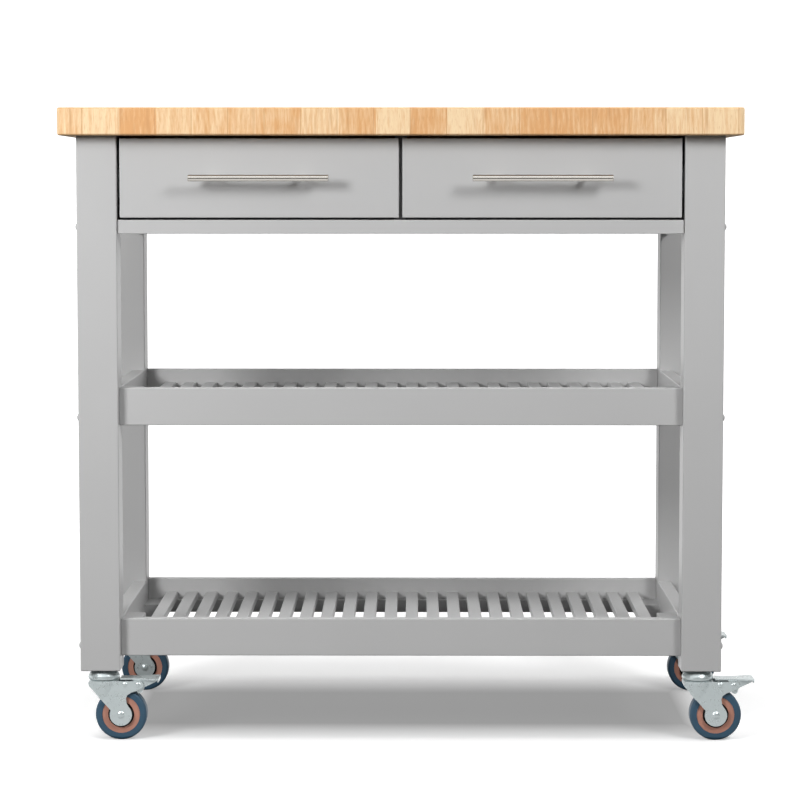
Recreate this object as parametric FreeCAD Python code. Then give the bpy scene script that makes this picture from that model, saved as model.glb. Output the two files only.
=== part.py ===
import FreeCAD, Part
import os

# Kitchen island cart. Millimetres, +Z up, front towards -Y.
# The pieces are laid out about the middle of the frame with the floor at zero, and moved by origin_shift()
# when they are saved, so that the origin is on the floor under the middle of the overall length and depth.

# Worktop
TOP_LENGTH = 1016.0
TOP_DEPTH = 508.0
TOP_THICKNESS = 41.3
TOP_CORNER_R = 10.0
TOP_EDGE_R = 3.0
TOTAL_HEIGHT = 952.5
TOP_UNDERSIDE = TOTAL_HEIGHT - TOP_THICKNESS

# Legs
LEG_WIDTH = 60.0
LEG_DEPTH = 52.0
LEG_BOTTOM = 107.0
LEG_EDGE_R = 2.0
FRAME_X = 482.6
FRAME_Y = 228.6
INNER_X = FRAME_X - LEG_WIDTH
INNER_Y = FRAME_Y - LEG_DEPTH
LEG_MID_Y = FRAME_Y - LEG_DEPTH / 2
SEAM = 0.4

# Case under the worktop
APRON_THICKNESS = 18.0
FACE_SETBACK = 3.0
FLOOR_PANEL_THICKNESS = 20.7
FLOOR_PANEL_Z = 765.6
CASE_FLOOR = FLOOR_PANEL_Z + FLOOR_PANEL_THICKNESS
REAR_APRON_Y = FRAME_Y - FACE_SETBACK - APRON_THICKNESS
DIVIDER_THICKNESS = 18.0
PANEL_EDGE_R = 1.0

# Drawers
FRONT_GAP_MIDDLE = 5.0
FRONT_GAP_LEG = 4.1
FRONT_BOTTOM = 789.4
FRONT_HEIGHT = 118.0
FRONT_THICKNESS = 19.0
FRONT_Y = -(FRAME_Y - 3.6)
FRONT_BACK_Y = FRONT_Y + FRONT_THICKNESS
FRONT_EDGE_R = 1.5
CASE_START_Y = FRONT_BACK_Y + 2.0
BOX_REAR_Y = 170.0
BOX_BOTTOM = 800.0
BOX_TOP = 884.0
BOX_BOARD = 12.0
BASE_THICKNESS = 6.0
BASE_Z = BOX_BOTTOM + 6.0
GROOVE_DEPTH = 4.5

# Drawer runners: a channel screwed to the case and a narrower channel screwed to the drawer
RUNNER_SPACE = 12.7
RUNNER_Z = 842.0
RUNNER_WALL = 1.2
RUNNER_LENGTH = 350.0
RUNNER_START_Y = -200.0
CASE_RUNNER_HEIGHT = 45.0
CASE_RUNNER_DEPTH = 12.0
DRAWER_RUNNER_HEIGHT = 36.0
DRAWER_RUNNER_DEPTH = 9.0

# Bar handles
HANDLE_X = (FRONT_GAP_MIDDLE / 2 + INNER_X - FRONT_GAP_LEG) / 2
HANDLE_Z = FRONT_BOTTOM + FRONT_HEIGHT / 2
HANDLE_LENGTH = 208.0
HANDLE_R = 5.0
HANDLE_STANDOFF = 30.0
HANDLE_CHAMFER = 0.6
POST_R = 3.6
POST_SPACING = 132.0

# Slatted shelves
SHELF_BOTTOMS = {"lower": 128.7, "upper": 478.2}
RAIL_HEIGHT = 56.5
RAIL_THICKNESS = 18.0
SIDE_RAIL_THICKNESS = 22.0
RAIL_EDGE_R = 1.5
FRONT_RAIL_SETBACK = 15.0
REAR_RAIL_SETBACK = 3.0
FRONT_RAIL_INNER_Y = -(FRAME_Y - FRONT_RAIL_SETBACK - RAIL_THICKNESS)
REAR_RAIL_INNER_Y = FRAME_Y - REAR_RAIL_SETBACK - RAIL_THICKNESS
SLAT_COUNT = 24
SLAT_PITCH = 33.3
SLAT_WIDTH = 19.5
SLAT_THICKNESS = 12.0
SLAT_DROP = 22.0
SLAT_EDGE_R = 1.5
SLAT_SPAN_X = (SLAT_COUNT - 1) * SLAT_PITCH / 2 + SLAT_WIDTH / 2
LEDGER_SIZE = 14.0
FRONT_BLOCK_DROP = 4.0
REAR_BLOCK_DROP = SLAT_DROP + SLAT_THICKNESS
BLOCK_LENGTH = 67.0
BLOCK_GAP = 1.0

# Leg bolts
BOLT_R = 3.0
BOLT_HOLE_R = 3.2
BOLT_HEAD_R = 6.8
BOLT_HEAD_HEIGHT = 5.0
BOLT_LENGTH = 82.0
BOLT_Y = 203.6
BOLT_HEIGHTS = (143.0, 489.4, 775.6)

# Casters, laid out about their swivel axis with the wheel trailing towards +X
FRONT_CASTER_X = 450.0
REAR_CASTER_X = 454.0
CASTER_NAMES = {
    "front_left": (-FRONT_CASTER_X, -LEG_MID_Y),
    "front_right": (FRONT_CASTER_X, -LEG_MID_Y),
    "rear_left": (-REAR_CASTER_X, LEG_MID_Y),
    "rear_right": (REAR_CASTER_X, LEG_MID_Y),
}
WHEEL_R = 38.8
WHEEL_TRAIL = 26.5
TYRE_INNER_R = 28.5
TYRE_WIDTH = 24.0
TYRE_SHOULDER_R = 4.0
CORE_WIDTH = 22.0
CORE_RIM_R = 19.6
CORE_WEB_WIDTH = 8.0
CORE_HUB_R = 8.0
CORE_HUB_WIDTH = 27.4
AXLE_R = 4.0
AXLE_HEAD_R = 6.0
AXLE_HEAD_HEIGHT = 2.2
RUNNING_CLEARANCE = 0.05
FIXED_CLEARANCE = 0.1
STEM_R = 6.0
STEM_TOP = 136.0
STEM_RIVET_R = 9.0
STEM_RIVET_Z = 80.2
STEM_RIVET_TOP = 82.6
CUP_TOP_R = 15.5
CUP_R = 23.5
CUP_SHOULDER_Z = 98.0
CUP_BOTTOM_Z = 93.0
CROWN_R = 22.5
CROWN_TOP_Z = 92.0
CROWN_UNDERSIDE_Z = 83.0
SKIRT_BOTTOM_Z = 62.0
FORK_HALF_WIDTH = 16.7
FORK_INNER_HALF = 14.2
FORK_DISC_R = 16.8
HORN_TOP_Z = 90.0
PIN_R = 2.5
PIN_HEAD_R = 4.0
PIN_HEAD_HEIGHT = 1.4
PEDAL_PIN = (53.0, 84.5)
STOP_PIN = (33.0, 85.0)
PEDAL_TIP = 84.0
PEDAL_START = 25.6
PEDAL_PLATE_Z = 92.0
PEDAL_PLATE_THICKNESS = 2.2
PEDAL_LIP = 3.2
PEDAL_LOBE_Z = 71.5
PEDAL_NARROW_HALF = 12.5
PEDAL_WIDE_HALF = 20.0
PEDAL_FLANGE_OUTER = 13.0
PEDAL_FLANGE_INNER = 10.8


def vec(x, y, z):
    return FreeCAD.Vector(x, y, z)


def block(x_pair, y_pair, z_pair):
    """A box between two corners, given as pairs in any order."""
    x0, x1 = sorted(x_pair)
    y0, y1 = sorted(y_pair)
    z0, z1 = sorted(z_pair)
    return Part.makeBox(x1 - x0, y1 - y0, z1 - z0, vec(x0, y0, z0))


def rod(radius, start, end):
    """A round bar between two points."""
    path = end.sub(start)
    return Part.makeCylinder(radius, path.Length, start, path)


def edges_where(shape, test):
    return [edge for edge in shape.Edges if test(edge)]


def runs_along(edge, axis):
    """True for a straight edge parallel to one axis: 0 is X, 1 is Y and 2 is Z."""
    ends = [vertex.Point for vertex in edge.Vertexes]
    if len(ends) != 2:
        return False
    others = [other for other in (0, 1, 2) if other != axis]
    return all(abs(ends[0][other] - ends[1][other]) < 1e-6 for other in others)


def is_round(edge):
    return isinstance(edge.Curve, Part.Circle)


def rounded_block(x_pair, y_pair, z_pair, radius):
    shape = block(x_pair, y_pair, z_pair)
    return shape.makeFillet(radius, shape.Edges)


def slab_xz(points, y_pair):
    """A plate whose outline is a closed run of (x, z) points, standing between two depths."""
    y0, y1 = sorted(y_pair)
    corners = [vec(x, y0, z) for x, z in points]
    face = Part.Face(Part.makePolygon(corners + corners[:1]))
    return face.extrude(vec(0, y1 - y0, 0))


def turned(points):
    """A solid of revolution about Z from a closed run of (radius, z) points."""
    corners = [vec(radius, 0, z) for radius, z in points]
    face = Part.Face(Part.makePolygon(corners + corners[:1]))
    return face.revolve(vec(0, 0, 0), vec(0, 0, 1), 360)


def dome(radius, height, base, direction):
    """A shallow round head: the cap of a sphere standing on a flat base point."""
    sphere_r = (radius ** 2 + height ** 2) / (2 * height)
    centre = base - direction * (sphere_r - height)
    ball = Part.makeSphere(sphere_r, centre)
    keeper = rod(radius, base, base + direction * height)
    return ball.common(keeper)


def worktop():
    shape = block((-TOP_LENGTH / 2, TOP_LENGTH / 2), (-TOP_DEPTH / 2, TOP_DEPTH / 2),
                  (TOP_UNDERSIDE, TOTAL_HEIGHT))
    shape = shape.makeFillet(TOP_CORNER_R, edges_where(shape, lambda edge: runs_along(edge, 2)))
    flat = [edge for edge in shape.Edges if not runs_along(edge, 2)]
    return shape.makeFillet(TOP_EDGE_R, flat)


def leg(side_x, side_y):
    """One leg: side_x and side_y are -1 or +1. It is drilled for its three bolts and its caster stem."""
    shape = block((side_x * INNER_X, side_x * FRAME_X), (side_y * INNER_Y, side_y * FRAME_Y),
                  (LEG_BOTTOM, TOP_UNDERSIDE))
    soft = edges_where(shape, lambda edge: edge.BoundBox.ZMin < TOP_UNDERSIDE - 1)
    shape = shape.makeFillet(LEG_EDGE_R, soft)
    for height in BOLT_HEIGHTS:
        outside = vec(side_x * (FRAME_X + 1), side_y * BOLT_Y, height)
        inside = vec(side_x * (INNER_X - 1), side_y * BOLT_Y, height)
        shape = shape.cut(rod(BOLT_HOLE_R, outside, inside))
    stem_x = side_x * (FRONT_CASTER_X if side_y < 0 else REAR_CASTER_X)
    stem_y = side_y * LEG_MID_Y
    socket_bottom = vec(stem_x, stem_y, LEG_BOTTOM - 1)
    socket_top = vec(stem_x, stem_y, STEM_TOP + 1)
    return shape.cut(rod(STEM_R + FIXED_CLEARANCE, socket_bottom, socket_top))


def side_apron(side_x):
    return block((side_x * INNER_X, side_x * (INNER_X + APRON_THICKNESS)),
                 (-INNER_Y + SEAM / 2, INNER_Y - SEAM / 2), (FLOOR_PANEL_Z, TOP_UNDERSIDE))


def rear_apron():
    reach = INNER_X - SEAM
    return rounded_block((-reach, reach), (REAR_APRON_Y, REAR_APRON_Y + APRON_THICKNESS),
                         (FLOOR_PANEL_Z, TOP_UNDERSIDE), PANEL_EDGE_R)


def floor_panel():
    """The panel under the drawers. Its front edge shows as the rail below them."""
    reach = INNER_X - SEAM
    shape = rounded_block((-reach, reach), (-FRAME_Y + FACE_SETBACK + 1, REAR_APRON_Y),
                          (FLOOR_PANEL_Z, CASE_FLOOR), PANEL_EDGE_R)
    for side_x in (-1, 1):
        for side_y in (-1, 1):
            shape = shape.cut(bolt_hole(side_x, side_y, BOLT_HEIGHTS[2]))
    return shape


def drawer_divider():
    """The upright board between the two drawers, standing just behind their fronts."""
    half = DIVIDER_THICKNESS / 2
    return block((-half, half), (CASE_START_Y, REAR_APRON_Y), (CASE_FLOOR, TOP_UNDERSIDE))


def bolt_hole(side_x, side_y, height):
    """The pilot hole for a leg bolt in the piece behind the leg."""
    return rod(BOLT_R + FIXED_CLEARANCE, vec(side_x * (INNER_X + 1), side_y * BOLT_Y, height),
               vec(side_x * (FRAME_X - BOLT_LENGTH - 1), side_y * BOLT_Y, height))


def drilled_for_shelf_bolts(shape, side_y):
    """Cuts the pilot holes of the front or rear leg bolts at shelf height."""
    for side_x in (-1, 1):
        for height in BOLT_HEIGHTS[:2]:
            shape = shape.cut(bolt_hole(side_x, side_y, height))
    return shape


def leg_bolts():
    """Three round-headed bolts through the outer side of every leg."""
    bolts = []
    for side_x in (-1, 1):
        for side_y in (-1, 1):
            for height in BOLT_HEIGHTS:
                seat = vec(side_x * FRAME_X, side_y * BOLT_Y, height)
                tip = vec(side_x * (FRAME_X - BOLT_LENGTH), side_y * BOLT_Y, height)
                head = dome(BOLT_HEAD_R, BOLT_HEAD_HEIGHT, seat, vec(side_x, 0, 0))
                bolts.append(head.fuse(rod(BOLT_R, seat, tip)))
    return bolts


def rail_inner_y(side_y):
    return FRONT_RAIL_INNER_Y if side_y < 0 else REAR_RAIL_INNER_Y


def shelf_long_rail(bottom, side_y):
    """A front or rear shelf rail, running between the legs."""
    reach = INNER_X - SEAM
    inner = rail_inner_y(side_y)
    shape = block((-reach, reach), (inner, inner + side_y * RAIL_THICKNESS), (bottom, bottom + RAIL_HEIGHT))
    shape = shape.makeFillet(RAIL_EDGE_R, edges_where(shape, lambda edge: runs_along(edge, 0)))
    return drilled_for_shelf_bolts(shape, side_y) if side_y < 0 else shape


def shelf_side_rail(bottom, side_x):
    reach = INNER_Y - SEAM / 2
    shape = block((side_x * INNER_X, side_x * (INNER_X + SIDE_RAIL_THICKNESS)), (-reach, reach),
                  (bottom, bottom + RAIL_HEIGHT))
    return shape.makeFillet(RAIL_EDGE_R, edges_where(shape, lambda edge: runs_along(edge, 1)))


def shelf_slats(bottom):
    top = bottom + RAIL_HEIGHT - SLAT_DROP
    slats = []
    for index in range(SLAT_COUNT):
        middle = (index - (SLAT_COUNT - 1) / 2) * SLAT_PITCH
        shape = block((middle - SLAT_WIDTH / 2, middle + SLAT_WIDTH / 2),
                      (FRONT_RAIL_INNER_Y, REAR_RAIL_INNER_Y), (top - SLAT_THICKNESS, top))
        slats.append(shape.makeFillet(SLAT_EDGE_R, edges_where(shape, lambda edge: runs_along(edge, 1))))
    return slats


def shelf_supports(bottom):
    """Two ledgers under the slat ends and four corner blocks. The rear blocks take the rear leg bolts."""
    slat_underside = bottom + RAIL_HEIGHT - SLAT_DROP - SLAT_THICKNESS
    pieces = []
    for side_y, drop in ((-1, FRONT_BLOCK_DROP), (1, REAR_BLOCK_DROP)):
        rail_face = rail_inner_y(side_y)
        pieces.append(block((-SLAT_SPAN_X, SLAT_SPAN_X), (rail_face, rail_face - side_y * LEDGER_SIZE),
                            (slat_underside - LEDGER_SIZE, slat_underside)))
        for side_x in (-1, 1):
            corner = block((side_x * INNER_X, side_x * (SLAT_SPAN_X + BLOCK_GAP)),
                           (rail_face, rail_face - side_y * BLOCK_LENGTH),
                           (bottom, bottom + RAIL_HEIGHT - drop))
            pieces.append(corner if side_y < 0 else drilled_for_shelf_bolts(corner, side_y))
    return pieces


def drawer_span(side_x):
    """The drawer box's two outer X positions, inner side first."""
    inner = DIVIDER_THICKNESS / 2 + RUNNER_SPACE
    outer = INNER_X - RUNNER_SPACE
    return side_x * inner, side_x * outer


def drawer_front(side_x):
    near_middle = side_x * FRONT_GAP_MIDDLE / 2
    near_leg = side_x * (INNER_X - FRONT_GAP_LEG)
    return rounded_block((near_middle, near_leg), (FRONT_Y, FRONT_BACK_Y),
                         (FRONT_BOTTOM, FRONT_BOTTOM + FRONT_HEIGHT), FRONT_EDGE_R)


def drawer_side(side_x, outer_side):
    """One side board, grooved for the drawer base."""
    inner_edge, outer_edge = drawer_span(side_x)
    outside = outer_edge if outer_side else inner_edge
    inward = -side_x if outer_side else side_x
    inside = outside + inward * BOX_BOARD
    board = block((outside, inside), (FRONT_BACK_Y, BOX_REAR_Y), (BOX_BOTTOM, BOX_TOP))
    groove = block((inside, inside - inward * GROOVE_DEPTH), (FRONT_BACK_Y, BOX_REAR_Y),
                   (BASE_Z, BASE_Z + BASE_THICKNESS))
    return board.cut(groove)


def drawer_back(side_x):
    inner_edge, outer_edge = drawer_span(side_x)
    return block((inner_edge + side_x * BOX_BOARD, outer_edge - side_x * BOX_BOARD),
                 (BOX_REAR_Y - BOX_BOARD, BOX_REAR_Y), (BASE_Z + BASE_THICKNESS, BOX_TOP))


def drawer_base(side_x):
    inner_edge, outer_edge = drawer_span(side_x)
    reach = BOX_BOARD - GROOVE_DEPTH
    return block((inner_edge + side_x * reach, outer_edge - side_x * reach), (FRONT_BACK_Y, BOX_REAR_Y),
                 (BASE_Z, BASE_Z + BASE_THICKNESS))


def channel(web_x, direction, depth, height):
    """A runner channel: a flat web at web_x with two flanges reaching along direction."""
    y_pair = (RUNNER_START_Y, RUNNER_START_Y + RUNNER_LENGTH)
    low = RUNNER_Z - height / 2
    high = RUNNER_Z + height / 2
    outside = block((web_x, web_x + direction * depth), y_pair, (low, high))
    hollow = block((web_x + direction * RUNNER_WALL, web_x + direction * (depth + 1)), y_pair,
                   (low + RUNNER_WALL, high - RUNNER_WALL))
    return outside.cut(hollow)


def case_runners():
    """The four runner channels that stay with the case."""
    channels = []
    for side_x in (-1, 1):
        for web_x, direction in ((DIVIDER_THICKNESS / 2, 1), (INNER_X, -1)):
            channels.append(channel(side_x * web_x, side_x * direction,
                                    CASE_RUNNER_DEPTH, CASE_RUNNER_HEIGHT))
    return channels


def drawer_runners(side_x):
    """The two runner channels on one drawer's sides."""
    inner_edge, outer_edge = drawer_span(side_x)
    return [channel(inner_edge, -side_x, DRAWER_RUNNER_DEPTH, DRAWER_RUNNER_HEIGHT),
            channel(outer_edge, side_x, DRAWER_RUNNER_DEPTH, DRAWER_RUNNER_HEIGHT)]


def handle_bar(side_x):
    middle = side_x * HANDLE_X
    bar_y = FRONT_Y - HANDLE_STANDOFF
    half = HANDLE_LENGTH / 2
    bar = rod(HANDLE_R, vec(middle - half, bar_y, HANDLE_Z), vec(middle + half, bar_y, HANDLE_Z))
    return bar.makeChamfer(HANDLE_CHAMFER, edges_where(bar, is_round))


def handle_posts(side_x):
    bar_y = FRONT_Y - HANDLE_STANDOFF
    middle = side_x * HANDLE_X
    start, end = [vec(middle + end_side * HANDLE_LENGTH, bar_y, HANDLE_Z) for end_side in (-1, 1)]
    bar = rod(HANDLE_R, start, end)
    posts = []
    for post_side in (-1, 1):
        x = middle + post_side * POST_SPACING / 2
        posts.append(rod(POST_R, vec(x, FRONT_Y, HANDLE_Z), vec(x, bar_y, HANDLE_Z)).cut(bar))
    return posts


def caster_stem():
    """The fixed part of a caster: threaded stem, raceway cup and the rivet head that keeps the fork on."""
    return turned([
        (0, STEM_RIVET_Z), (STEM_RIVET_R - 1, STEM_RIVET_Z), (STEM_RIVET_R, STEM_RIVET_Z + 1),
        (STEM_RIVET_R, STEM_RIVET_TOP), (STEM_R, STEM_RIVET_TOP), (STEM_R, CUP_BOTTOM_Z),
        (CUP_R, CUP_BOTTOM_Z), (CUP_R + 0.5, CUP_BOTTOM_Z + 2), (CUP_R, CUP_SHOULDER_Z),
        (CUP_R - 2.5, CUP_SHOULDER_Z + 4), (CUP_TOP_R + 1.5, LEG_BOTTOM - 1.5), (CUP_TOP_R, LEG_BOTTOM),
        (STEM_R, LEG_BOTTOM), (STEM_R, STEM_TOP - 1), (STEM_R - 1, STEM_TOP), (0, STEM_TOP)])


def fork_outline():
    """The fork's side view: a slanted arm from the crown to the axle, and a horn that carries the pedal."""
    disc_x = WHEEL_TRAIL
    disc_z = WHEEL_R
    arm = slab_xz([
        (-CROWN_R, CROWN_TOP_Z - 4), (-CROWN_R + 1, CROWN_UNDERSIDE_Z), (disc_x - 15.5, disc_z + 7),
        (disc_x, disc_z), (disc_x + 12.5, disc_z + 11), (disc_x + 9, disc_z + 17),
        (disc_x + 8, disc_z + 25),
        (disc_x + 10, disc_z + 30), (disc_x + 16, disc_z + 34), (disc_x + 25, disc_z + 37),
        (disc_x + 33, disc_z + 42), (disc_x + 34.5, disc_z + 47), (disc_x + 32, HORN_TOP_Z),
        (0, HORN_TOP_Z), (-CROWN_R + 2, HORN_TOP_Z)], (-FORK_HALF_WIDTH, FORK_HALF_WIDTH))
    disc = rod(FORK_DISC_R, vec(disc_x, -FORK_HALF_WIDTH, disc_z), vec(disc_x, FORK_HALF_WIDTH, disc_z))
    return arm.fuse(disc)


def fork():
    """The swivelling fork, pressed from sheet: crown, skirt and two cheeks either side of the wheel."""
    crown = turned([
        (0, CROWN_UNDERSIDE_Z), (CROWN_R - 1, CROWN_UNDERSIDE_Z), (CROWN_R, CROWN_UNDERSIDE_Z + 3),
        (CROWN_R, CROWN_TOP_Z - 2), (CROWN_R - 2, CROWN_TOP_Z), (0, CROWN_TOP_Z)])
    skirt = turned([
        (0, SKIRT_BOTTOM_Z), (FORK_HALF_WIDTH - 0.5, SKIRT_BOTTOM_Z),
        (FORK_HALF_WIDTH + 1.5, SKIRT_BOTTOM_Z + 8), (CROWN_R - 1, CROWN_UNDERSIDE_Z),
        (0, CROWN_UNDERSIDE_Z)])
    arm_side = slab_xz([
        (-CROWN_R, CROWN_UNDERSIDE_Z), (-4, SKIRT_BOTTOM_Z), (CROWN_R, SKIRT_BOTTOM_Z),
        (CROWN_R, CROWN_UNDERSIDE_Z)], (-CROWN_R, CROWN_R))
    shape = fork_outline().fuse([crown, skirt.common(arm_side)])
    inside = block((-2 * CROWN_R, 4 * CROWN_R), (-FORK_INNER_HALF, FORK_INNER_HALF), (0, CROWN_UNDERSIDE_Z))
    between_horns = block((CROWN_R, 4 * CROWN_R), (-FORK_INNER_HALF, FORK_INNER_HALF), (0, 2 * CROWN_TOP_Z))
    bore = rod(STEM_R + RUNNING_CLEARANCE, vec(0, 0, 0), vec(0, 0, 2 * CROWN_TOP_Z))
    shape = shape.cut([inside, between_horns, bore])
    for (x, z), radius in (((WHEEL_TRAIL, WHEEL_R), AXLE_R), (PEDAL_PIN, PIN_R), (STOP_PIN, PIN_R)):
        hole = rod(radius + FIXED_CLEARANCE, vec(x, -2 * FORK_HALF_WIDTH, z), vec(x, 2 * FORK_HALF_WIDTH, z))
        shape = shape.cut(hole)
    return shape.removeSplitter()


def headed_pin(x, z, radius, head_r, head_height):
    """A pin across the fork with a domed head on each outside face."""
    pin = rod(radius, vec(x, -FORK_HALF_WIDTH, z), vec(x, FORK_HALF_WIDTH, z))
    near = dome(head_r, head_height, vec(x, -FORK_HALF_WIDTH, z), vec(0, -1, 0))
    far = dome(head_r, head_height, vec(x, FORK_HALF_WIDTH, z), vec(0, 1, 0))
    return pin.fuse([near, far])


def fork_pins():
    """The wheel axle, the pedal's pivot pin and the stop pin."""
    return [headed_pin(WHEEL_TRAIL, WHEEL_R, AXLE_R, AXLE_HEAD_R, AXLE_HEAD_HEIGHT),
            headed_pin(PEDAL_PIN[0], PEDAL_PIN[1], PIN_R, PIN_HEAD_R, PIN_HEAD_HEIGHT),
            headed_pin(STOP_PIN[0], STOP_PIN[1], PIN_R, PIN_HEAD_R, PIN_HEAD_HEIGHT)]


def on_axle(shape):
    """Turns a wheel piece modelled about Z on to the axle, which lies along Y."""
    shape.rotate(vec(0, 0, 0), vec(1, 0, 0), 90)
    shape.translate(vec(WHEEL_TRAIL, 0, WHEEL_R))
    return shape


def tyre():
    half = TYRE_WIDTH / 2
    ring = Part.makeCylinder(WHEEL_R, TYRE_WIDTH, vec(0, 0, -half))
    ring = ring.makeFillet(TYRE_SHOULDER_R, edges_where(ring, is_round))
    return on_axle(ring.cut(Part.makeCylinder(TYRE_INNER_R, TYRE_WIDTH, vec(0, 0, -half))))


def wheel_core():
    """The wheel's centre: rim, thin web and hub, with the axle bore."""
    bore = AXLE_R + RUNNING_CLEARANCE
    rim = CORE_WIDTH / 2
    web = CORE_WEB_WIDTH / 2
    hub = CORE_HUB_WIDTH / 2
    return on_axle(turned([
        (bore, -hub), (CORE_HUB_R, -hub), (CORE_HUB_R, -web), (CORE_RIM_R, -web), (CORE_RIM_R, -rim),
        (TYRE_INNER_R, -rim), (TYRE_INNER_R, rim), (CORE_RIM_R, rim), (CORE_RIM_R, web), (CORE_HUB_R, web),
        (CORE_HUB_R, hub), (bore, hub)]))


def pedal_plate():
    """The flared foot plate: narrow over the wheel and wide at the tip, with the tip's corners cut off."""
    half_outline = [
        (PEDAL_START, PEDAL_NARROW_HALF), (PEDAL_PIN[0], PEDAL_NARROW_HALF), (PEDAL_TIP - 8, PEDAL_WIDE_HALF),
        (PEDAL_TIP - 3, PEDAL_WIDE_HALF), (PEDAL_TIP, PEDAL_WIDE_HALF - 3)]
    near = [vec(x, -y, PEDAL_PLATE_Z) for x, y in half_outline]
    far = [vec(x, y, PEDAL_PLATE_Z) for x, y in reversed(half_outline)]
    face = Part.Face(Part.makePolygon(near + far + near[:1]))
    return face.extrude(vec(0, 0, PEDAL_PLATE_THICKNESS))


def brake_pedal():
    """The foot plate on two flanges that hang from the pivot pin, with a brake shoe between them."""
    pin_x, pin_z = PEDAL_PIN
    side_view = [
        (pin_x - 8, PEDAL_PLATE_Z), (pin_x - 6, pin_z - 4.5), (pin_x - 1.5, PEDAL_LOBE_Z + 1.5),
        (pin_x, PEDAL_LOBE_Z), (pin_x + 4.5, PEDAL_LOBE_Z), (pin_x + 6, PEDAL_LOBE_Z + 1.5),
        (pin_x + 8, pin_z - 4.5), (PEDAL_TIP - 4, PEDAL_PLATE_Z - 3), (PEDAL_TIP - 2, PEDAL_PLATE_Z)]
    flanges = slab_xz(side_view, (-PEDAL_FLANGE_OUTER, PEDAL_FLANGE_OUTER))
    between = block((0, 2 * PEDAL_TIP), (-PEDAL_FLANGE_INNER, PEDAL_FLANGE_INNER), (0, PEDAL_PLATE_Z))
    shoe = block((pin_x - 2, pin_x + 4.5), (-PEDAL_FLANGE_OUTER, PEDAL_FLANGE_OUTER),
                 (PEDAL_LOBE_Z + 1.5, PEDAL_LOBE_Z + 5))
    lip = block((PEDAL_TIP - PEDAL_PLATE_THICKNESS, PEDAL_TIP), (3 - PEDAL_WIDE_HALF, PEDAL_WIDE_HALF - 3),
                (PEDAL_PLATE_Z - PEDAL_LIP, PEDAL_PLATE_Z))
    shape = flanges.cut(between).fuse([pedal_plate(), shoe, lip])
    pivot_ends = [vec(pin_x, y, pin_z) for y in (-PEDAL_WIDE_HALF, PEDAL_WIDE_HALF)]
    return shape.cut(rod(PIN_R + RUNNING_CLEARANCE, *pivot_ends)).removeSplitter()


def origin_shift():
    """Half of what the pedals and the handles stand out past the worktop."""
    past_end = REAR_CASTER_X + PEDAL_TIP - TOP_LENGTH / 2
    past_front = HANDLE_STANDOFF + HANDLE_R - FRONT_Y - TOP_DEPTH / 2
    return vec(-past_end / 2, past_front / 2, 0)


def save(name, shapes):
    """Writes one node. A list of solids is kept as separate solids in the same file."""
    solid = Part.makeCompound(shapes) if isinstance(shapes, list) else shapes
    solid.translate(origin_shift())
    solid.exportStep(os.path.join("parts", name + ".step"))


def save_case():
    save("worktop", worktop())
    for side_y, row in ((-1, "front"), (1, "rear")):
        for side_x, side in ((-1, "left"), (1, "right")):
            save("leg_" + row + "_" + side, leg(side_x, side_y))
    save("apron_left", side_apron(-1))
    save("apron_right", side_apron(1))
    save("apron_rear", rear_apron())
    save("drawer_floor_panel", floor_panel())
    save("drawer_divider", drawer_divider())
    save("case_runners", case_runners())
    save("leg_bolts", leg_bolts())


def save_shelves():
    supports = []
    for level, bottom in SHELF_BOTTOMS.items():
        save("shelf_" + level + "_rail_front", shelf_long_rail(bottom, -1))
        save("shelf_" + level + "_rail_rear", shelf_long_rail(bottom, 1))
        save("shelf_" + level + "_rail_left", shelf_side_rail(bottom, -1))
        save("shelf_" + level + "_rail_right", shelf_side_rail(bottom, 1))
        save("shelf_" + level + "_slats", shelf_slats(bottom))
        supports += shelf_supports(bottom)
    save("shelf_supports", supports)


def save_drawers():
    for side_x, side in ((-1, "left"), (1, "right")):
        drawer = "drawer_" + side + "_"
        save(drawer + "front", drawer_front(side_x))
        save(drawer + "side_outer", drawer_side(side_x, True))
        save(drawer + "side_inner", drawer_side(side_x, False))
        save(drawer + "back", drawer_back(side_x))
        save(drawer + "base", drawer_base(side_x))
        save(drawer + "runners", drawer_runners(side_x))
        save(drawer + "handle_bar", handle_bar(side_x))
        save(drawer + "handle_posts", handle_posts(side_x))


def save_casters():
    stems = []
    for name, (x, y) in CASTER_NAMES.items():
        place = vec(x, y, 0)
        stems.append(caster_stem().translated(place))
        save("caster_" + name + "_fork", fork().translated(place))
        save("caster_" + name + "_pins", [pin.translated(place) for pin in fork_pins()])
        save("caster_" + name + "_tyre", tyre().translated(place))
        save("caster_" + name + "_core", wheel_core().translated(place))
        save("caster_" + name + "_pedal", brake_pedal().translated(place))
    save("caster_stems", stems)


os.makedirs("parts", exist_ok=True)
save_case()
save_shelves()
save_drawers()
save_casters()
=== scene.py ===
import math

import bpy
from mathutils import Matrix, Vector


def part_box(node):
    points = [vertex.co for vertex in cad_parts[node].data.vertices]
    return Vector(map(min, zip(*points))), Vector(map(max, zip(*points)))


# Kitchen island cart: finishes, floor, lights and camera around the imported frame. Metres, +Z up.

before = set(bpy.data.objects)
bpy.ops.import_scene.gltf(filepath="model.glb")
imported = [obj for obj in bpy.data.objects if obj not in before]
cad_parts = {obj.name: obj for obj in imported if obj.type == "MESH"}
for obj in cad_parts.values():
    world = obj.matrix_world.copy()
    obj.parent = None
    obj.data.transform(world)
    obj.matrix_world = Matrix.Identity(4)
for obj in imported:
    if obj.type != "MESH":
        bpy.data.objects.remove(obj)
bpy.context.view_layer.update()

# Camera, as the cart is seen: straight on, a little below the worktop's height
CAMERA_PLACE = Vector((0.008, -4.281, 0.837))
CAMERA_TURN_LEFT = 0.0059
CAMERA_TILT_DOWN = 0.07857
CAMERA_LENS = 122.45
CAMERA_SENSOR = 36.0
CAMERA_REACH = 100.0

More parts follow.
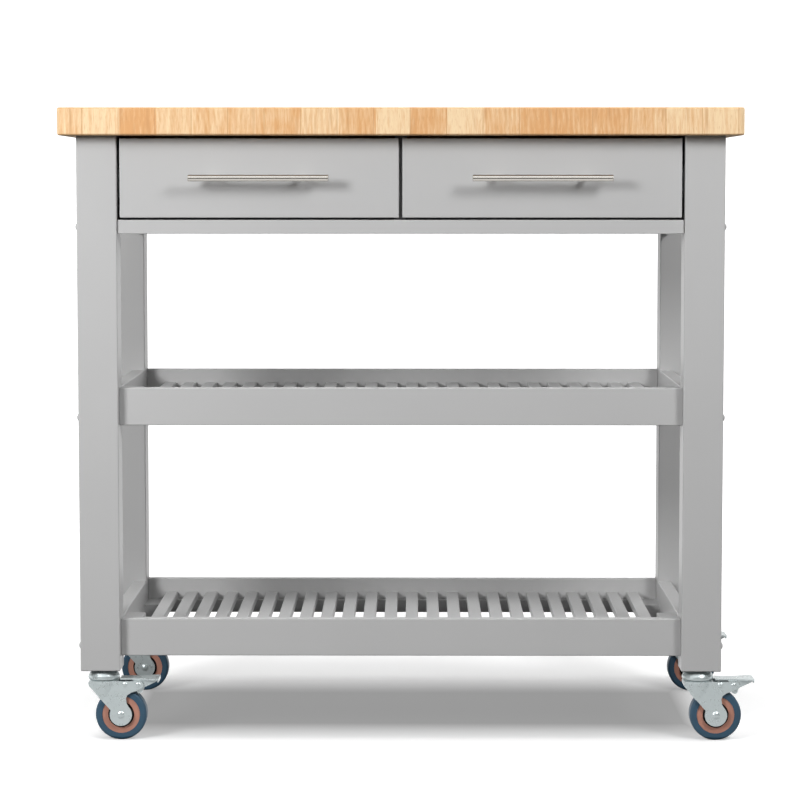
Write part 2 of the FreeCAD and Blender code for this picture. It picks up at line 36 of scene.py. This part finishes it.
# Floor: its tone and glow in the painted shadow under the cart, beside it and far off
FLOOR_RADIUS = 60.0
FLOOR_STEPS = 64
FLOOR_TONE = 0.94
FLOOR_SHADE_TONE = 0.08
FLOOR_SPECKLE_SCALE = 18.0
FLOOR_SPECKLE_LOW = 0.98
FLOOR_ROUGHNESS = 0.8
FLOOR_SPECULAR = 0.1
SHADE_GLOW = 0.285
NEAR_GLOW = 0.30
FAR_GLOW = 1.0
NEAR_FAR_RADII = (0.75, 1.5)
SHADE_MIDDLE_Y = 0.045
SHADE_HALF = (0.455, 0.212)
SHADE_SOFT = (0.030, 0.085)

# World: how strongly each part of the dome lights the cart, and how bright the camera sees all of it
DOME_BACK = 1.40
DOME_FRONT = 0.06
DOME_TOP = 0.40
DOME_BELOW = 0.06
DOME_SEEN = 1.40
DOME_TURN = (-0.15, 0.15)
DOME_BAND = (0.20, 0.40)
DOME_HORIZON = (-0.05, 0.05)

# Lights. The two cards show only as reflections, and the top light shows in none.
SOFTBOX_SIZE = (0.7, 0.7)
SOFTBOX_TARGET = (0.0, 0.0, 0.60)
LEFT_SOFTBOX_PLACE = (-1.6, -1.85, 1.42)
LEFT_SOFTBOX_POWER = 41.0
RIGHT_SOFTBOX_PLACE = (1.5, -1.80, 1.90)
RIGHT_SOFTBOX_POWER = 32.0
FRONT_CARD_PLACE = (0.0, -1.5, 1.75)
FRONT_CARD_TARGET = (0.0, -0.26, 0.85)
FRONT_CARD_SIZE = (3.0, 1.1)
FLOOR_CARD_PLACE = (0.0, -1.08, 0.005)
FLOOR_CARD_TARGET = (0.0, -1.08, 1.0)
FLOOR_CARD_SIZE = (2.6, 1.85)
CARD_POWER = 12.5
TOP_LIGHT_PLACE = (0.0, -0.1, 3.3)
TOP_LIGHT_TARGET = (0.0, 0.0, 0.0)
TOP_LIGHT_SIZE = (2.6, 1.4)
TOP_LIGHT_POWER = 42.0

# The worktop's end-grain blocks. The front row's tones run left to right, 0 dark orange to 1 pale.
FIRST_BLOCK = 0.0378
BLOCK_PITCH = 0.0538
BLOCK_ROW_DEPTH = 0.0508
FRONT_TONES = (0.72, 0.95, 0.08, 0.72, 0.62, 0.50, 0.38, 0.74, 0.34, 0.98,
               0.30, 0.98, 0.50, 0.20, 0.10, 0.38, 0.44, 0.86, 0.92, 1.00)
SEED_STEPS = (0.37, 0.61)
SEED_REACH = (0.9, 0.7)
ROW_SEED = 0.618
GLUE_HALF_WIDTH = 0.013
GLUE_DEPTH = 0.55

# The blocks' figure: noise scales along X, Y and Z, and how far each layer shifts the wood's tone
FIBRE_SCALE = (700.0, 700.0, 55.0)
FIBRE_TONES = (-0.34, 0.26)
STREAK_SCALE = (150.0, 150.0, 16.0)
STREAK_TONES = (-0.30, 0.26)
BROAD_SCALE = (30.0, 30.0, 9.0)
BROAD_TONES = (-0.16, 0.14)
RING_FLATTENING = (1.0, 1.0, 0.10)
RING_FREQUENCY = 900.0
RING_WARP_SCALE = 7.0
RING_WARP = 26.0
RING_TONES = (-0.12, 0.09)
BAND_SCALE = (85.0, 85.0, 12.0)
BAND_ONSET = (0.60, 0.74)
VESSEL_SCALE = (1000.0, 1000.0, 70.0)
VESSEL_ONSET = (0.58, 0.70)
DARK_FIGURE_DEPTH = 0.55
# Where the painted shade on the worktop's rounded edges comes in, by how steep the surface is
ARRIS_STARTS = (0.10, 0.45)
ARRIS_ENDS = (0.90, 0.99)

# Colours
WOOD_DARK = (0.700, 0.370, 0.155)
WOOD_PALE = (0.865, 0.655, 0.405)
WOOD_STREAK = (0.560, 0.285, 0.120)
# Painted shade: the darker wood on the worktop's rounded edges
WOOD_ARRIS_SHADE = (0.520, 0.290, 0.130)
BOX_WOOD_DARK = (0.52, 0.36, 0.20)
BOX_WOOD_PALE = (0.68, 0.52, 0.33)
PAINT = (0.500, 0.500, 0.500)
# Painted highlight: the lighter grey on the paint's arrises
PAINT_EDGE_HIGHLIGHT = (0.560, 0.560, 0.560)
STEEL = (0.72, 0.685, 0.635)
ZINC = (0.60, 0.665, 0.670)
# Painted highlight: the lighter zinc on the edges
ZINC_EDGE_HIGHLIGHT = (0.72, 0.76, 0.76)
TYRE = (0.026, 0.075, 0.125)
CORE = (0.510, 0.235, 0.170)
# Painted shade: near-black for the wheel core's recess, standing in for the shadow inside it
CORE_RECESS_SHADE = (0.012, 0.012, 0.013)
WHITE = (1.0, 1.0, 1.0)

# Drawer boxes, with the grain along X or along Y
GRAIN_ALONG_X = (5.0, 90.0, 90.0)
GRAIN_ALONG_Y = (90.0, 5.0, 90.0)

# Metals, and the wheel core's middle, painted near-black as the shade in its recess
BRUSHING_SCALE = (14.0, 2600.0, 2600.0)
MOTTLE_SCALE = 90.0
SPANGLE_SCALE = 260.0
RECESS_SHADE_RADIUS = 0.01975

# Node settings: a noise's usual range, the range that breaks up worn edges and painted edge highlights, the
# cosines between which the edge mask comes in, and the sockets of a colour Mix node
NOISE_RANGE = (0.3, 0.7)
WEAR_AND_HIGHLIGHT_RANGE = (0.35, 0.65)
EDGE_TURN = (0.97, 0.80)
EDGE_SAMPLES = 4
MIX_FACTOR = 0
MIX_FIRST = 6
MIX_SECOND = 7
MIX_RESULT = 2


class Graph:
    """A material's node tree, with short calls for the nodes used here."""

    def __init__(self, name):
        self.material = bpy.data.materials.new(name)
        self.material.use_nodes = True
        self.tree = self.material.node_tree
        self.shader = self.tree.nodes["Principled BSDF"]
        self.place = self.node("ShaderNodeTexCoord").outputs["Object"]

    def node(self, kind, inputs=None, **settings):
        made = self.tree.nodes.new(kind)
        for key, value in settings.items():
            setattr(made, key, value)
        for key, value in (inputs or {}).items():
            self.feed(made.inputs[key], value)
        return made

    def feed(self, socket, value):
        """Links a socket to another, or gives it a constant."""
        if isinstance(value, bpy.types.NodeSocket):
            self.tree.links.new(value, socket)
        else:
            socket.default_value = value

    def set(self, name, value):
        self.feed(self.shader.inputs[name], value)

    def vector(self, operation, first, second=None):
        inputs = {0: first} if second is None else {0: first, 1: second}
        return self.node("ShaderNodeVectorMath", inputs, operation=operation)

    def noise(self, scale, detail=3.0, roughness=0.55, place=None):
        """Cloudy noise. A scale of three numbers stretches it along each axis by its own amount."""
        where = place or self.place
        if isinstance(scale, tuple):
            where = self.vector("MULTIPLY", where, scale).outputs[0]
            scale = 1.0
        inputs = {"Vector": where, "Scale": scale, "Detail": detail, "Roughness": roughness}
        return self.node("ShaderNodeTexNoise", inputs).outputs["Fac"]

    def math(self, operation, first, second=0.0, clamp=False):
        made = self.node("ShaderNodeMath", {0: first, 1: second}, operation=operation, use_clamp=clamp)
        return made.outputs[0]

    def span(self, value, low, high, to_low, to_high):
        """Maps a value from one range to another, clamped."""
        return self.node("ShaderNodeMapRange", {"Value": value, "From Min": low, "From Max": high,
                                                "To Min": to_low, "To Max": to_high}).outputs["Result"]

    def vary(self, noise, low, high):
        """Spreads a noise's usual range from low to high, clamped."""
        return self.span(noise, *NOISE_RANGE, low, high)

    def blend(self, factor, first, second):
        made = self.node("ShaderNodeMix", data_type="RGBA", blend_type="MIX")
        self.feed(made.inputs[MIX_FACTOR], factor)
        self.feed(made.inputs[MIX_FIRST], opaque(first))
        self.feed(made.inputs[MIX_SECOND], opaque(second))
        return made.outputs[MIX_RESULT]

    def bump(self, height, distance, strength, under=None):
        inputs = {"Height": height, "Distance": distance, "Strength": strength}
        if under:
            inputs["Normal"] = under
        return self.node("ShaderNodeBump", inputs).outputs["Normal"]

    def edge_mask(self, radius):
        """1 near a sharp or tightly rounded edge and 0 on the flat."""
        soft = self.node("ShaderNodeBevel", {"Radius": radius}, samples=EDGE_SAMPLES).outputs["Normal"]
        true = self.node("ShaderNodeNewGeometry").outputs["Normal"]
        along = self.vector("DOT_PRODUCT", soft, true).outputs["Value"]
        return self.span(along, *EDGE_TURN, 0.0, 1.0)

    def wear_and_highlight_edge(self, radius, noise, low, high):
        """The edge mask broken up by a noise, from low to high."""
        return self.math("MULTIPLY", self.edge_mask(radius), self.span(noise, *WEAR_AND_HIGHLIGHT_RANGE, low, high))


def opaque(value):
    """A colour with full alpha. A socket is passed on as it is."""
    return (*value, 1.0) if isinstance(value, tuple) else value


def shaded(value, share):
    """A colour made darker or lighter."""
    return tuple(share * part for part in value)


def block_tones(graph, first_edge, row):
    """A colour whose red is the tone of each wood block, with a seed in its green and blue.

    The front row, row 0, has the tones as listed, and every other row has the same run shifted.
    The second value is 0 at a joint between two blocks and 0.5 halfway along a block."""
    shift = graph.node("ShaderNodeTexWhiteNoise", {"W": row}, noise_dimensions="1D").outputs["Value"]
    behind = graph.math("GREATER_THAN", row, 0.5)
    x = graph.node("ShaderNodeSeparateXYZ", {0: graph.place}).outputs["X"]
    count = len(FRONT_TONES)
    blocks = graph.math("DIVIDE", graph.math("SUBTRACT", x, first_edge), BLOCK_PITCH * count)
    along = graph.math("FRACT", graph.math("ADD", blocks, graph.math("MULTIPLY", shift, behind)))
    ramp = graph.node("ShaderNodeValToRGB", {"Fac": along})
    ramp.color_ramp.interpolation = "CONSTANT"
    stops = ramp.color_ramp.elements
    for index, tone in enumerate(FRONT_TONES):
        stop = stops[0] if index == 0 else stops.new(index / count)
        stop.position = index / count
        seed = [(index * step) % 1.0 for step in SEED_STEPS]
        stop.color = (tone, *seed, 1.0)
    stops.remove(stops[-1])
    joint = graph.math("PINGPONG", graph.math("MULTIPLY", along, count), 0.5)
    return ramp.outputs["Color"], joint


def block_place(graph, seed, row):
    """The object's coordinates, moved to a different part of the noise for each block and row."""
    row_seed = graph.math("MULTIPLY", row, ROW_SEED)
    moves = {}
    for axis, channel, reach in zip("XY", ("Green", "Blue"), SEED_REACH):
        moves[axis] = graph.math("ADD", graph.math("MULTIPLY", seed.outputs[channel], reach), row_seed)
    offset = graph.node("ShaderNodeCombineXYZ", moves)
    return graph.vector("ADD", graph.place, offset.outputs[0]).outputs[0]


def growth_rings(graph, place):
    """Wavering rings, -1 to 1, around upright centres."""
    warp = graph.noise(RING_WARP_SCALE, detail=2.0, roughness=0.5, place=place)
    flat = graph.vector("MULTIPLY", place, RING_FLATTENING).outputs[0]
    distance = graph.vector("LENGTH", flat).outputs["Value"]
    turns = graph.math("MULTIPLY", distance, RING_FREQUENCY)
    return graph.math("SINE", graph.math("ADD", turns, graph.math("MULTIPLY", warp, RING_WARP)))


def arris_mask(graph):
    """1 on the worktop's rounded edges, where the surface is neither upright nor level, for the painted
    shade there.
    """
    normal = graph.node("ShaderNodeNewGeometry").outputs["Normal"]
    tilt = graph.math("ABSOLUTE", graph.node("ShaderNodeSeparateXYZ", {0: normal}).outputs["Z"])
    starts = graph.span(tilt, *ARRIS_STARTS, 0.0, 1.0)
    ends = graph.span(tilt, *ARRIS_ENDS, 1.0, 0.0)
    return graph.math("MULTIPLY", starts, ends)


def butcher_block():
    """End-grain hardwood blocks: fibres, streaks, rings, pores and glue lines, with painted shade darkening
    the arrises.
    """
    graph = Graph("butcher_block")
    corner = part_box("worktop")[0]
    depth = graph.node("ShaderNodeSeparateXYZ", {0: graph.place}).outputs["Y"]
    rows = graph.math("DIVIDE", graph.math("SUBTRACT", depth, corner.y), BLOCK_ROW_DEPTH)
    row = graph.math("MAXIMUM", graph.math("FLOOR", rows), 0.0)
    tones, joint = block_tones(graph, corner.x + FIRST_BLOCK - BLOCK_PITCH, row)
    seed = graph.node("ShaderNodeSeparateColor", {0: tones})
    place = block_place(graph, seed, row)
    fibre = graph.noise(FIBRE_SCALE, detail=4.0, roughness=0.65, place=place)
    streak = graph.noise(STREAK_SCALE, detail=3.0, roughness=0.6, place=place)
    broad = graph.noise(BROAD_SCALE, detail=2.0, roughness=0.5, place=place)
    tone = graph.math("ADD", seed.outputs["Red"], graph.vary(streak, *STREAK_TONES))
    tone = graph.math("ADD", tone, graph.vary(broad, *BROAD_TONES))
    tone = graph.math("ADD", tone, graph.span(growth_rings(graph, place), -1.0, 1.0, *RING_TONES))
    tone = graph.math("ADD", tone, graph.vary(fibre, *FIBRE_TONES), clamp=True)
    wood = graph.blend(tone, WOOD_DARK, WOOD_PALE)
    bands = graph.noise(BAND_SCALE, detail=2.0, roughness=0.5, place=place)
    dark_streaks = graph.span(bands, *BAND_ONSET, 0.0, DARK_FIGURE_DEPTH)
    vessels = graph.noise(VESSEL_SCALE, detail=2.0, roughness=0.5, place=place)
    pores = graph.span(vessels, *VESSEL_ONSET, 0.0, DARK_FIGURE_DEPTH)
    wood = graph.blend(graph.math("MAXIMUM", dark_streaks, pores), wood, WOOD_STREAK)
    glue = graph.math("MULTIPLY", graph.math("LESS_THAN", joint, GLUE_HALF_WIDTH), GLUE_DEPTH)
    wood = graph.blend(glue, wood, WOOD_STREAK)
    # painted shade: darker wood on the rounded edges, broken up by the streaks
    edge = graph.math("MULTIPLY", arris_mask(graph), graph.vary(streak, 0.75, 0.45))
    graph.set("Base Color", graph.blend(edge, wood, WOOD_ARRIS_SHADE))
    graph.set("Roughness", graph.vary(fibre, 0.56, 0.70))
    under = graph.bump(pores, distance=0.0002, strength=0.4)
    graph.set("Normal", graph.bump(fibre, distance=0.0002, strength=0.35, under=under))
    graph.set("Specular IOR Level", 0.2)
    return graph.material


def grey_paint():
    """Satin paint on wood: a faint roller texture, slight cloudiness, and a painted highlight on the
    arrises.
    """
    graph = Graph("grey_paint")
    cloud = graph.noise(5.0)
    roller = graph.noise(420.0, detail=2.0)
    base = graph.blend(graph.vary(cloud, 0.0, 1.0), shaded(PAINT, 0.985), shaded(PAINT, 1.015))
    # painted highlight: lighter grey on the arrises, broken up by a noise
    edge = graph.wear_and_highlight_edge(0.0016, graph.noise(60.0), 0.15, 0.6)
    graph.set("Base Color", graph.blend(edge, base, PAINT_EDGE_HIGHLIGHT))
    graph.set("Roughness", graph.vary(roller, 0.38, 0.48))
    graph.set("Normal", graph.bump(roller, distance=0.00025, strength=0.12))
    graph.set("Specular IOR Level", 0.35)
    return graph.material


def box_wood(name, grain_scale):
    """Clear-lacquered softwood for the drawer boxes."""
    graph = Graph(name)
    grain = graph.noise(grain_scale, detail=5.0, roughness=0.6)
    rings = graph.math("SINE", graph.math("MULTIPLY", grain, 40.0))
    figure = graph.span(rings, -1.0, 1.0, -0.15, 0.15)
    tone = graph.math("ADD", graph.vary(grain, 0.1, 0.9), figure, clamp=True)
    graph.set("Base Color", graph.blend(tone, BOX_WOOD_DARK, BOX_WOOD_PALE))
    graph.set("Roughness", graph.vary(grain, 0.42, 0.58))
    graph.set("Normal", graph.bump(grain, distance=0.0003, strength=0.25))
    return graph.material


def brushed_steel():
    """Stainless bar stock brushed along its length."""
    graph = Graph("brushed_steel")
    hair = graph.noise(BRUSHING_SCALE, detail=4.0, roughness=0.7)
    smear = graph.noise(30.0, detail=2.0)
    graph.set("Metallic", 1.0)
    graph.set("Base Color", graph.blend(graph.vary(hair, 0.0, 1.0), shaded(STEEL, 0.86), STEEL))
    graph.set("Roughness", graph.math("ADD", graph.vary(hair, 0.15, 0.26), graph.vary(smear, -0.03, 0.03)))
    graph.set("Normal", graph.bump(hair, distance=0.00004, strength=0.3))
    return graph.material


def zinc_plate():
    """Bright zinc on pressed steel: a slightly blue plating with spangle, part mirror and part chalky, with
    a painted highlight on its edges.
    """
    graph = Graph("zinc_plate")
    mottle = graph.noise(MOTTLE_SCALE, detail=4.0, roughness=0.6)
    fine = graph.noise(900.0, detail=2.0)
    spangle = graph.node("ShaderNodeTexVoronoi", {"Vector": graph.place, "Scale": SPANGLE_SCALE})
    patch = graph.node("ShaderNodeSeparateColor", {0: spangle.outputs["Color"]}).outputs["Red"]
    level = graph.math("ADD", graph.vary(mottle, 0.0, 0.8), graph.math("MULTIPLY", patch, 0.2))
    base = graph.blend(level, shaded(ZINC, 0.90), ZINC)
    # painted highlight: lighter zinc near the edges
    edge = graph.math("MULTIPLY", graph.edge_mask(0.0008), 0.35)
    graph.set("Metallic", 0.5)
    graph.set("Base Color", graph.blend(edge, base, ZINC_EDGE_HIGHLIGHT))
    graph.set("Roughness", graph.math("ADD", graph.vary(mottle, 0.24, 0.36), graph.vary(fine, -0.02, 0.03)))
    graph.set("Normal", graph.bump(mottle, distance=0.0001, strength=0.08))
    return graph.material


def moulded(name, tint, roughness, grain_scale):
    """A moulded plastic or rubber with a fine grain, slight colour drift and paler scuffed edges."""
    graph = Graph(name)
    drift = graph.noise(40.0)
    grain = graph.noise(grain_scale)
    base = graph.blend(graph.vary(drift, 0.0, 1.0), shaded(tint, 0.90), shaded(tint, 1.10))
    scuffed = tuple(0.75 * part + 0.10 for part in tint)
    graph.set("Base Color", graph.blend(graph.wear_and_highlight_edge(0.0012, grain, 0.05, 0.35), base, scuffed))
    graph.set("Roughness", graph.vary(grain, roughness - 0.06, roughness + 0.06))
    graph.set("Normal", graph.bump(grain, distance=0.0002, strength=0.2))
    return graph.material


def dress(node, *materials):
    """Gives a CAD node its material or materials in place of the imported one."""
    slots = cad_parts[node].data.materials
    slots.clear()
    for material in materials:
        slots.append(material)


def paint_recess_shade(node):
    """Gives the second material, near-black painted shade, to the faces of a wheel core inside its rim."""
    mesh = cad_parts[node].data
    low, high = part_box(node)
    centre = (low + high) / 2
    for face in mesh.polygons:
        away = face.center - centre
        face.material_index = 1 if math.hypot(away.x, away.z) < RECESS_SHADE_RADIUS else 0


def dress_all():
    paint = grey_paint()
    steel = brushed_steel()
    zinc = zinc_plate()
    block = butcher_block()
    side_wood = box_wood("box_side_wood", GRAIN_ALONG_Y)
    back_wood = box_wood("box_back_wood", GRAIN_ALONG_X)
    tyre = moulded("tyre_rubber", TYRE, roughness=0.55, grain_scale=700.0)
    core = moulded("core_plastic", CORE, roughness=0.42, grain_scale=800.0)
    recess_shade = moulded("core_recess_painted_shade", CORE_RECESS_SHADE, roughness=0.6, grain_scale=800.0)
    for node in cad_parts:
        if node == "worktop":
            dress(node, block)
        elif "handle" in node:
            dress(node, steel)
        elif node.endswith("_core"):
            # the core's recess is painted near-black as shade
            dress(node, core, recess_shade)
            paint_recess_shade(node)
        elif node.endswith("_tyre"):
            dress(node, tyre)
        elif node.startswith("caster_") or node.endswith("_runners"):
            dress(node, zinc)
        elif node.endswith(("_side_outer", "_side_inner")):
            dress(node, side_wood)
        elif node.startswith("drawer_") and node.endswith(("_back", "_base")):
            dress(node, back_wood)
        else:
            dress(node, paint)


def floor_finish():
    """Matt off-white that glows, brighter far off, with a soft-edged oblong shadow painted under the cart:
    darker and glowing less there.
    """
    graph = Graph("studio_floor")
    speckle = graph.vary(graph.noise(FLOOR_SPECKLE_SCALE, detail=2.0), FLOOR_SPECKLE_LOW, 1.0)
    axes = graph.node("ShaderNodeSeparateXYZ", {0: graph.place}).outputs
    # the painted shadow: a soft-edged oblong under the cart, where the floor is darker and glows less
    across = graph.math("SUBTRACT", graph.math("ABSOLUTE", axes["X"]), SHADE_HALF[0])
    deep = graph.math("ABSOLUTE", graph.math("SUBTRACT", axes["Y"], SHADE_MIDDLE_Y))
    deep = graph.math("SUBTRACT", deep, SHADE_HALF[1])
    past_side = graph.math("DIVIDE", across, SHADE_SOFT[0])
    past_end = graph.math("DIVIDE", deep, SHADE_SOFT[1])
    outside = graph.math("MAXIMUM", past_side, past_end)
    tone = graph.span(outside, -1.0, 1.0, FLOOR_SHADE_TONE, FLOOR_TONE)
    level = graph.math("MULTIPLY", tone, speckle)
    graph.set("Base Color", graph.node("ShaderNodeCombineColor", {0: level, 1: level, 2: level}).outputs[0])
    graph.set("Roughness", FLOOR_ROUGHNESS)
    graph.set("Specular IOR Level", FLOOR_SPECULAR)
    graph.set("Emission Color", opaque(WHITE))
    near = graph.span(outside, -1.0, 1.0, SHADE_GLOW, NEAR_GLOW)
    away = graph.vector("LENGTH", graph.place).outputs["Value"]
    far = graph.span(away, *NEAR_FAR_RADII, 0.0, FAR_GLOW)
    graph.set("Emission Strength", graph.math("MAXIMUM", near, far))
    return graph.material


def studio_floor():
    """A plain pale floor, round and large. It takes shadows, isn't reflected and throws no light back."""
    points = []
    for step in range(FLOOR_STEPS):
        angle = step / FLOOR_STEPS * 2 * math.pi
        points.append((FLOOR_RADIUS * math.cos(angle), FLOOR_RADIUS * math.sin(angle), 0.0))
    mesh = bpy.data.meshes.new("studio_floor")
    mesh.from_pydata(points, [], [list(range(FLOOR_STEPS))])
    mesh.materials.append(floor_finish())
    floor = bpy.data.objects.new("studio_floor", mesh)
    floor.visible_diffuse = False
    floor.visible_glossy = False
    bpy.context.scene.collection.objects.link(floor)


def area_light(name, place, target, size, power):
    data = bpy.data.lights.new(name, "AREA")
    data.shape = "RECTANGLE"
    data.size, data.size_y = size
    data.energy = power
    lamp = bpy.data.objects.new(name, data)
    lamp.location = place
    lamp.visible_camera = False
    lamp.rotation_mode = "QUATERNION"
    lamp.rotation_quaternion = (Vector(target) - Vector(place)).to_track_quat("-Z", "Y")
    bpy.context.scene.collection.objects.link(lamp)
    return lamp


def studio_world():
    """Lights with a white band behind the cart, dimmer in front and above. It is seen as plain white."""
    world = bpy.data.worlds.new("studio_world")
    world.use_nodes = True
    tree = world.node_tree
    parts = tree.nodes.new("ShaderNodeSeparateXYZ")
    tree.links.new(tree.nodes.new("ShaderNodeTexCoord").outputs["Generated"], parts.inputs[0])

    def ramp(value, span, low, high):
        """Low to high, either of them a number or a socket, as the value goes through the span."""
        made = tree.nodes.new("ShaderNodeMapRange")
        tree.links.new(value, made.inputs["Value"])
        made.inputs["From Min"].default_value, made.inputs["From Max"].default_value = span
        for socket, level in ((made.inputs["To Min"], low), (made.inputs["To Max"], high)):
            if isinstance(level, bpy.types.NodeSocket):
                tree.links.new(level, socket)
            else:
                socket.default_value = level
        return made.outputs["Result"]

    around = ramp(parts.outputs["Y"], DOME_TURN, DOME_FRONT, DOME_BACK)
    above = ramp(parts.outputs["Z"], DOME_HORIZON, DOME_BELOW, DOME_TOP)
    steep = tree.nodes.new("ShaderNodeMath")
    steep.operation = "ABSOLUTE"
    tree.links.new(parts.outputs["Z"], steep.inputs[0])
    lit = ramp(steep.outputs[0], DOME_BAND, around, above)
    seen = tree.nodes.new("ShaderNodeLightPath").outputs["Is Camera Ray"]
    strength = ramp(seen, (0.0, 1.0), lit, DOME_SEEN)
    background = tree.nodes["Background"]
    background.inputs["Color"].default_value = opaque(WHITE)
    tree.links.new(strength, background.inputs["Strength"])
    bpy.context.scene.world = world


def studio_light():
    studio_world()
    area_light("left_softbox", LEFT_SOFTBOX_PLACE, SOFTBOX_TARGET, SOFTBOX_SIZE, LEFT_SOFTBOX_POWER)
    area_light("right_softbox", RIGHT_SOFTBOX_PLACE, SOFTBOX_TARGET, SOFTBOX_SIZE, RIGHT_SOFTBOX_POWER)
    front = area_light("front_card", FRONT_CARD_PLACE, FRONT_CARD_TARGET, FRONT_CARD_SIZE, CARD_POWER)
    low = area_light("floor_card", FLOOR_CARD_PLACE, FLOOR_CARD_TARGET, FLOOR_CARD_SIZE, CARD_POWER)
    top = area_light("top_light", TOP_LIGHT_PLACE, TOP_LIGHT_TARGET, TOP_LIGHT_SIZE, TOP_LIGHT_POWER)
    front.visible_diffuse = False
    low.visible_diffuse = False
    top.visible_glossy = False


def camera():
    data = bpy.data.cameras.new("camera")
    data.lens = CAMERA_LENS
    data.sensor_width = CAMERA_SENSOR
    data.clip_end = CAMERA_REACH
    made = bpy.data.objects.new("camera", data)
    made.location = CAMERA_PLACE
    made.rotation_euler = (math.pi / 2 - CAMERA_TILT_DOWN, 0.0, CAMERA_TURN_LEFT)
    bpy.context.scene.collection.objects.link(made)
    bpy.context.scene.camera = made


dress_all()
studio_floor()
studio_light()
camera()
bpy.context.scene.view_settings.view_transform = "Standard"
